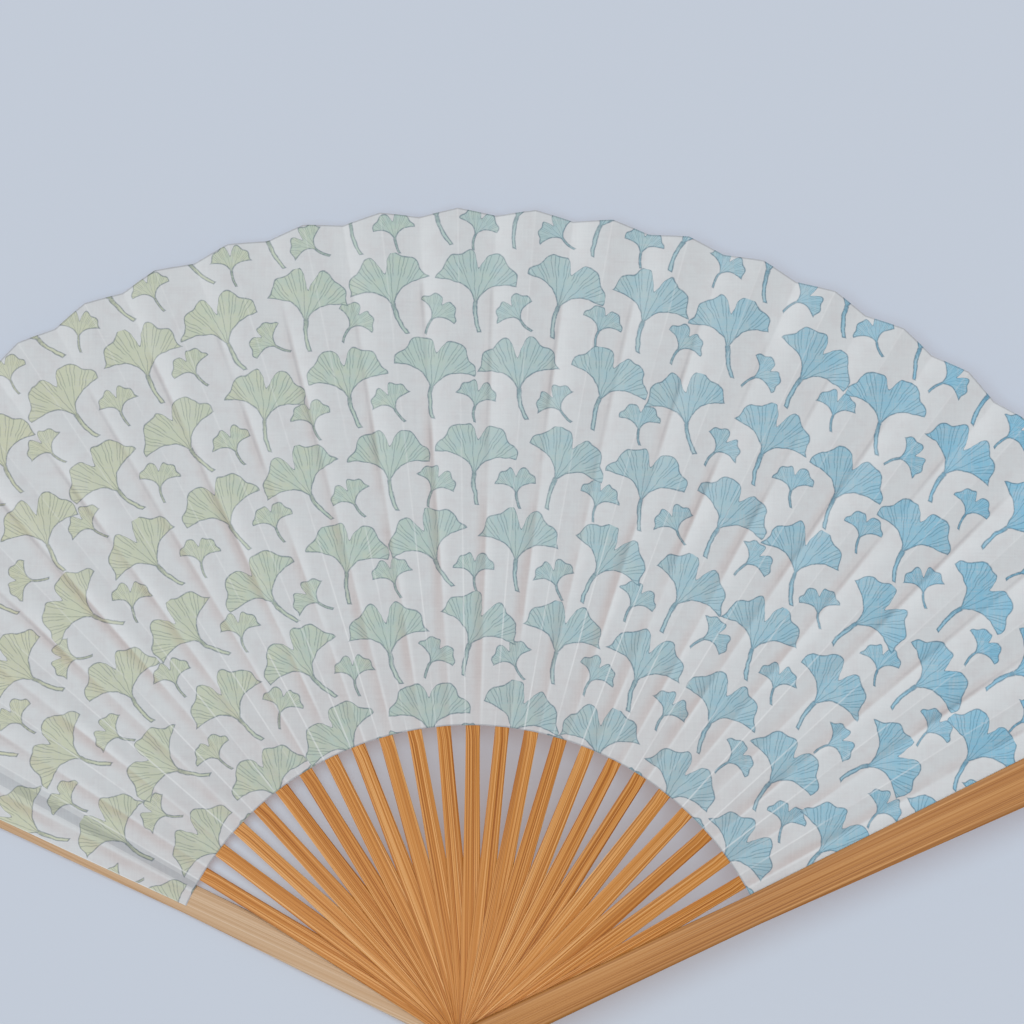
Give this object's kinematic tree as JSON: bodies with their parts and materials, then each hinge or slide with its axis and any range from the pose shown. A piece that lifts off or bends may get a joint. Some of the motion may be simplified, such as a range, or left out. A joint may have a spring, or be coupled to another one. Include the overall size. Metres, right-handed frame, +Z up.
{
  "type": "folding fan",
  "caption": "Hand fan that folds: a pleated printed cloth leaf on slim bamboo ribs between stouter guards, all turning on a pivot pin.",
  "frame": {"origin": "on the pivot axis, on the flat underside of the pin's lower head", "axes": "+Z up the pivot axis from the back guard to the front guard, +Y up the middle of the open fan, +X towards the front guard's side"},
  "size_m": [0.3666, 0.2088, 0.0207],
  "materials": {
    "bamboo_guard": "smoothed bamboo, satin, long fine fibres",
    "bamboo_rib": "split bamboo, satin, long fine fibres",
    "leaf_cloth": "thin plain-woven cloth, printed, matt",
    "pin_brass": "dulled brass"
  },
  "bodies": {
    "back_guard": {"back_guard": "bamboo_guard", "pivot_pin": "pin_brass", "pivot_cap": "pin_brass", "leaf_pleat_00": "leaf_cloth"},
    "rib_01": {"rib_01": "bamboo_rib", "leaf_pleat_01": "leaf_cloth"},
    "rib_02": {"rib_02": "bamboo_rib", "leaf_pleat_02": "leaf_cloth"},
    "rib_03": {"rib_03": "bamboo_rib", "leaf_pleat_03": "leaf_cloth"},
    "rib_04": {"rib_04": "bamboo_rib", "leaf_pleat_04": "leaf_cloth"},
    "rib_05": {"rib_05": "bamboo_rib", "leaf_pleat_05": "leaf_cloth"},
    "rib_06": {"rib_06": "bamboo_rib", "leaf_pleat_06": "leaf_cloth"},
    "rib_07": {"rib_07": "bamboo_rib", "leaf_pleat_07": "leaf_cloth"},
    "rib_08": {"rib_08": "bamboo_rib", "leaf_pleat_08": "leaf_cloth"},
    "rib_09": {"rib_09": "bamboo_rib", "leaf_pleat_09": "leaf_cloth"},
    "rib_10": {"rib_10": "bamboo_rib", "leaf_pleat_10": "leaf_cloth"},
    "rib_11": {"rib_11": "bamboo_rib", "leaf_pleat_11": "leaf_cloth"},
    "rib_12": {"rib_12": "bamboo_rib", "leaf_pleat_12": "leaf_cloth"},
    "rib_13": {"rib_13": "bamboo_rib", "leaf_pleat_13": "leaf_cloth"},
    "rib_14": {"rib_14": "bamboo_rib", "leaf_pleat_14": "leaf_cloth"},
    "rib_15": {"rib_15": "bamboo_rib", "leaf_pleat_15": "leaf_cloth"},
    "rib_16": {"rib_16": "bamboo_rib", "leaf_pleat_16": "leaf_cloth"},
    "rib_17": {"rib_17": "bamboo_rib", "leaf_pleat_17": "leaf_cloth"},
    "rib_18": {"rib_18": "bamboo_rib", "leaf_pleat_18": "leaf_cloth"},
    "rib_19": {"rib_19": "bamboo_rib", "leaf_pleat_19": "leaf_cloth"},
    "rib_20": {"rib_20": "bamboo_rib", "leaf_pleat_20": "leaf_cloth"},
    "rib_21": {"rib_21": "bamboo_rib", "leaf_pleat_21": "leaf_cloth"},
    "rib_22": {"rib_22": "bamboo_rib", "leaf_pleat_22": "leaf_cloth"},
    "rib_23": {"rib_23": "bamboo_rib", "leaf_pleat_23": "leaf_cloth"},
    "front_guard": {"front_guard": "bamboo_guard", "leaf_end": "leaf_cloth"}
  },
  "joints": [
    {"name": "fan_opening", "type": "hinge", "parent": "back_guard", "child": "rib_01", "pos_m": [0, 0, 0.01], "axis": [0, 0, 1], "range_deg": [0, 5.36], "deforming": ["leaf_pleat_00"]},
    {"name": "rib_02_pivot", "type": "hinge", "parent": "rib_01", "child": "rib_02", "pos_m": [0, 0, 0.01], "axis": [0, 0, 1], "range_deg": [0, 5.36], "deforming": ["leaf_pleat_01"]},
    {"name": "rib_03_pivot", "type": "hinge", "parent": "rib_02", "child": "rib_03", "pos_m": [0, 0, 0.01], "axis": [0, 0, 1], "range_deg": [0, 5.36], "deforming": ["leaf_pleat_02"]},
    {"name": "rib_04_pivot", "type": "hinge", "parent": "rib_03", "child": "rib_04", "pos_m": [0, 0, 0.01], "axis": [0, 0, 1], "range_deg": [0, 5.36], "deforming": ["leaf_pleat_03"]},
    {"name": "rib_05_pivot", "type": "hinge", "parent": "rib_04", "child": "rib_05", "pos_m": [0, 0, 0.01], "axis": [0, 0, 1], "range_deg": [0, 5.36], "deforming": ["leaf_pleat_04"]},
    {"name": "rib_06_pivot", "type": "hinge", "parent": "rib_05", "child": "rib_06", "pos_m": [0, 0, 0.01], "axis": [0, 0, 1], "range_deg": [0, 5.36], "deforming": ["leaf_pleat_05"]},
    {"name": "rib_07_pivot", "type": "hinge", "parent": "rib_06", "child": "rib_07", "pos_m": [0, 0, 0.01], "axis": [0, 0, 1], "range_deg": [0, 5.36], "deforming": ["leaf_pleat_06"]},
    {"name": "rib_08_pivot", "type": "hinge", "parent": "rib_07", "child": "rib_08", "pos_m": [0, 0, 0.01], "axis": [0, 0, 1], "range_deg": [0, 5.36], "deforming": ["leaf_pleat_07"]},
    {"name": "rib_09_pivot", "type": "hinge", "parent": "rib_08", "child": "rib_09", "pos_m": [0, 0, 0.01], "axis": [0, 0, 1], "range_deg": [0, 5.36], "deforming": ["leaf_pleat_08"]},
    {"name": "rib_10_pivot", "type": "hinge", "parent": "rib_09", "child": "rib_10", "pos_m": [0, 0, 0.01], "axis": [0, 0, 1], "range_deg": [0, 5.36], "deforming": ["leaf_pleat_09"]},
    {"name": "rib_11_pivot", "type": "hinge", "parent": "rib_10", "child": "rib_11", "pos_m": [0, 0, 0.01], "axis": [0, 0, 1], "range_deg": [0, 5.36], "deforming": ["leaf_pleat_10"]},
    {"name": "rib_12_pivot", "type": "hinge", "parent": "rib_11", "child": "rib_12", "pos_m": [0, 0, 0.01], "axis": [0, 0, 1], "range_deg": [0, 5.36], "deforming": ["leaf_pleat_11"]},
    {"name": "rib_13_pivot", "type": "hinge", "parent": "rib_12", "child": "rib_13", "pos_m": [0, 0, 0.01], "axis": [0, 0, 1], "range_deg": [0, 5.36], "deforming": ["leaf_pleat_12"]},
    {"name": "rib_14_pivot", "type": "hinge", "parent": "rib_13", "child": "rib_14", "pos_m": [0, 0, 0.01], "axis": [0, 0, 1], "range_deg": [0, 5.36], "deforming": ["leaf_pleat_13"]},
    {"name": "rib_15_pivot", "type": "hinge", "parent": "rib_14", "child": "rib_15", "pos_m": [0, 0, 0.01], "axis": [0, 0, 1], "range_deg": [0, 5.36], "deforming": ["leaf_pleat_14"]},
    {"name": "rib_16_pivot", "type": "hinge", "parent": "rib_15", "child": "rib_16", "pos_m": [0, 0, 0.01], "axis": [0, 0, 1], "range_deg": [0, 5.36], "deforming": ["leaf_pleat_15"]},
    {"name": "rib_17_pivot", "type": "hinge", "parent": "rib_16", "child": "rib_17", "pos_m": [0, 0, 0.01], "axis": [0, 0, 1], "range_deg": [0, 5.36], "deforming": ["leaf_pleat_16"]},
    {"name": "rib_18_pivot", "type": "hinge", "parent": "rib_17", "child": "rib_18", "pos_m": [0, 0, 0.01], "axis": [0, 0, 1], "range_deg": [0, 5.36], "deforming": ["leaf_pleat_17"]},
    {"name": "rib_19_pivot", "type": "hinge", "parent": "rib_18", "child": "rib_19", "pos_m": [0, 0, 0.01], "axis": [0, 0, 1], "range_deg": [0, 5.36], "deforming": ["leaf_pleat_18"]},
    {"name": "rib_20_pivot", "type": "hinge", "parent": "rib_19", "child": "rib_20", "pos_m": [0, 0, 0.01], "axis": [0, 0, 1], "range_deg": [0, 5.36], "deforming": ["leaf_pleat_19"]},
    {"name": "rib_21_pivot", "type": "hinge", "parent": "rib_20", "child": "rib_21", "pos_m": [0, 0, 0.01], "axis": [0, 0, 1], "range_deg": [0, 5.36], "deforming": ["leaf_pleat_20"]},
    {"name": "rib_22_pivot", "type": "hinge", "parent": "rib_21", "child": "rib_22", "pos_m": [0, 0, 0.01], "axis": [0, 0, 1], "range_deg": [0, 5.36], "deforming": ["leaf_pleat_21"]},
    {"name": "rib_23_pivot", "type": "hinge", "parent": "rib_22", "child": "rib_23", "pos_m": [0, 0, 0.01], "axis": [0, 0, 1], "range_deg": [0, 5.36], "deforming": ["leaf_pleat_22"]},
    {"name": "front_guard_pivot", "type": "hinge", "parent": "rib_23", "child": "front_guard", "pos_m": [0, 0, 0.01], "axis": [0, 0, 1], "range_deg": [0, 5.36], "deforming": ["leaf_pleat_23"]}
  ],
  "couplings": [
    {"joint": "rib_02_pivot", "follows": "fan_opening", "ratio": 1},
    {"joint": "rib_03_pivot", "follows": "fan_opening", "ratio": 1},
    {"joint": "rib_04_pivot", "follows": "fan_opening", "ratio": 1},
    {"joint": "rib_05_pivot", "follows": "fan_opening", "ratio": 1},
    {"joint": "rib_06_pivot", "follows": "fan_opening", "ratio": 1},
    {"joint": "rib_07_pivot", "follows": "fan_opening", "ratio": 1},
    {"joint": "rib_08_pivot", "follows": "fan_opening", "ratio": 1},
    {"joint": "rib_09_pivot", "follows": "fan_opening", "ratio": 1},
    {"joint": "rib_10_pivot", "follows": "fan_opening", "ratio": 1},
    {"joint": "rib_11_pivot", "follows": "fan_opening", "ratio": 1},
    {"joint": "rib_12_pivot", "follows": "fan_opening", "ratio": 1},
    {"joint": "rib_13_pivot", "follows": "fan_opening", "ratio": 1},
    {"joint": "rib_14_pivot", "follows": "fan_opening", "ratio": 1},
    {"joint": "rib_15_pivot", "follows": "fan_opening", "ratio": 1},
    {"joint": "rib_16_pivot", "follows": "fan_opening", "ratio": 1},
    {"joint": "rib_17_pivot", "follows": "fan_opening", "ratio": 1},
    {"joint": "rib_18_pivot", "follows": "fan_opening", "ratio": 1},
    {"joint": "rib_19_pivot", "follows": "fan_opening", "ratio": 1},
    {"joint": "rib_20_pivot", "follows": "fan_opening", "ratio": 1},
    {"joint": "rib_21_pivot", "follows": "fan_opening", "ratio": 1},
    {"joint": "rib_22_pivot", "follows": "fan_opening", "ratio": 1},
    {"joint": "rib_23_pivot", "follows": "fan_opening", "ratio": 1},
    {"joint": "front_guard_pivot", "follows": "fan_opening", "ratio": 1}
  ]
}
